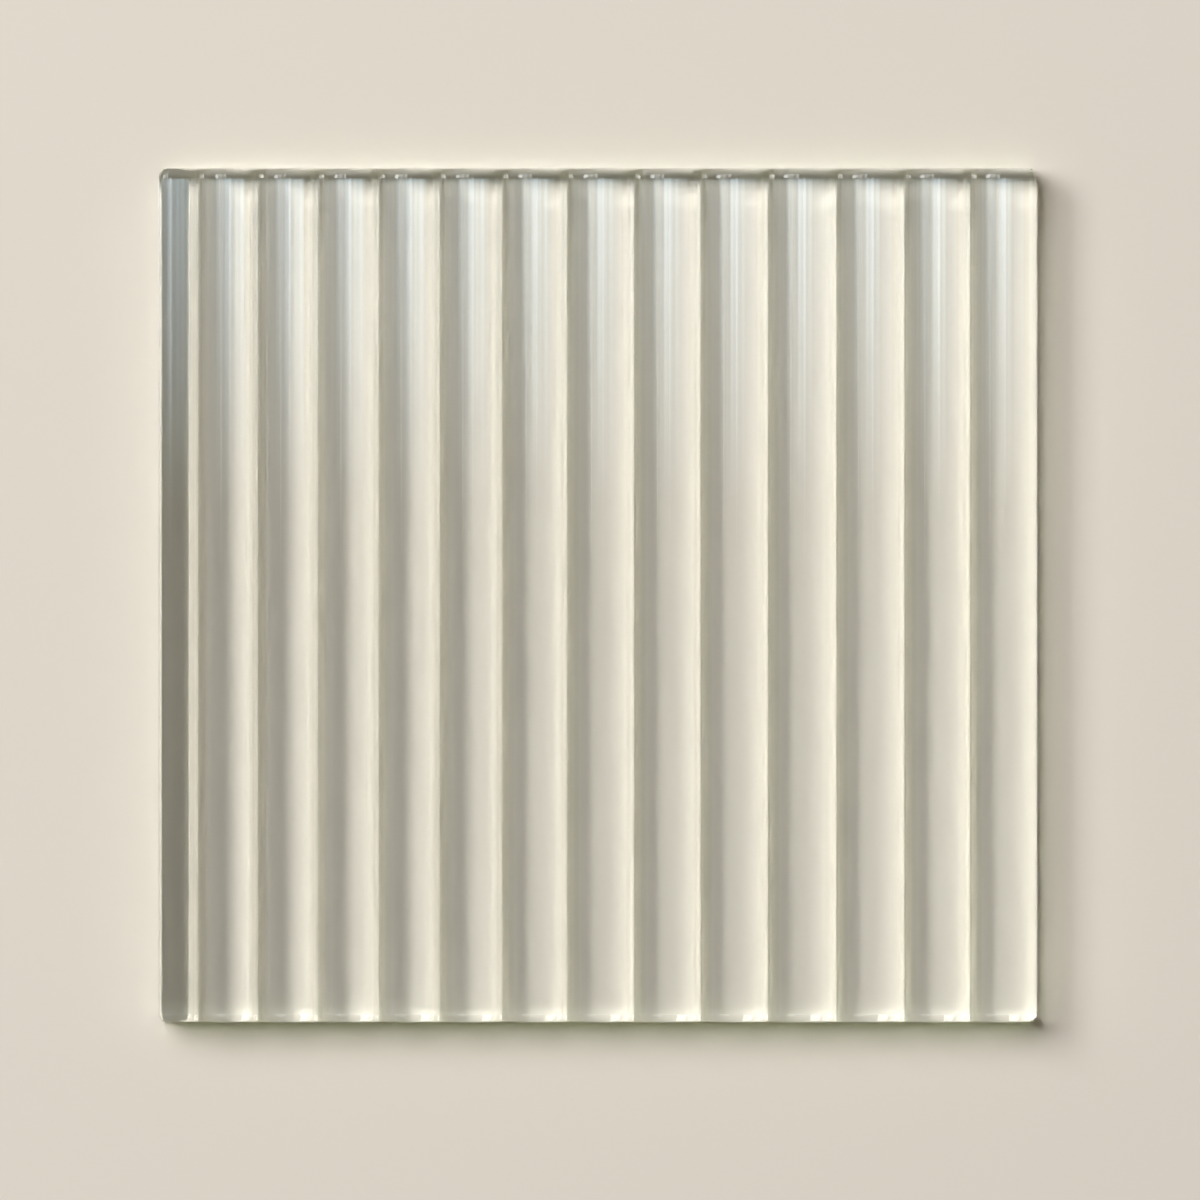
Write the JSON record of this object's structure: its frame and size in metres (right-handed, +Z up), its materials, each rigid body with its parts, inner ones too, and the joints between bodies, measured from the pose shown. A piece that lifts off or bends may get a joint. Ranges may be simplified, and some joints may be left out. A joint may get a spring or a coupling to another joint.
{
  "type": "reeded glass sample",
  "caption": "Square sample pane of clear reeded glass, flat on the back with rounded parallel reeds on the face, shown to compare finishes.",
  "frame": {"origin": "centre of the flat back, which rests on the floor", "axes": "+X across the reeds towards the wider reeds, +Y along the reeds, +Z up out of the reeded face"},
  "size_m": [0.1028, 0.1, 0.0056],
  "materials": {
    "clear_glass": "clear cast glass, fire polished, with a pale grey-green edge"
  },
  "bodies": {
    "root": {"reeded_glass_pane": "clear_glass"}
  },
  "joints": []
}
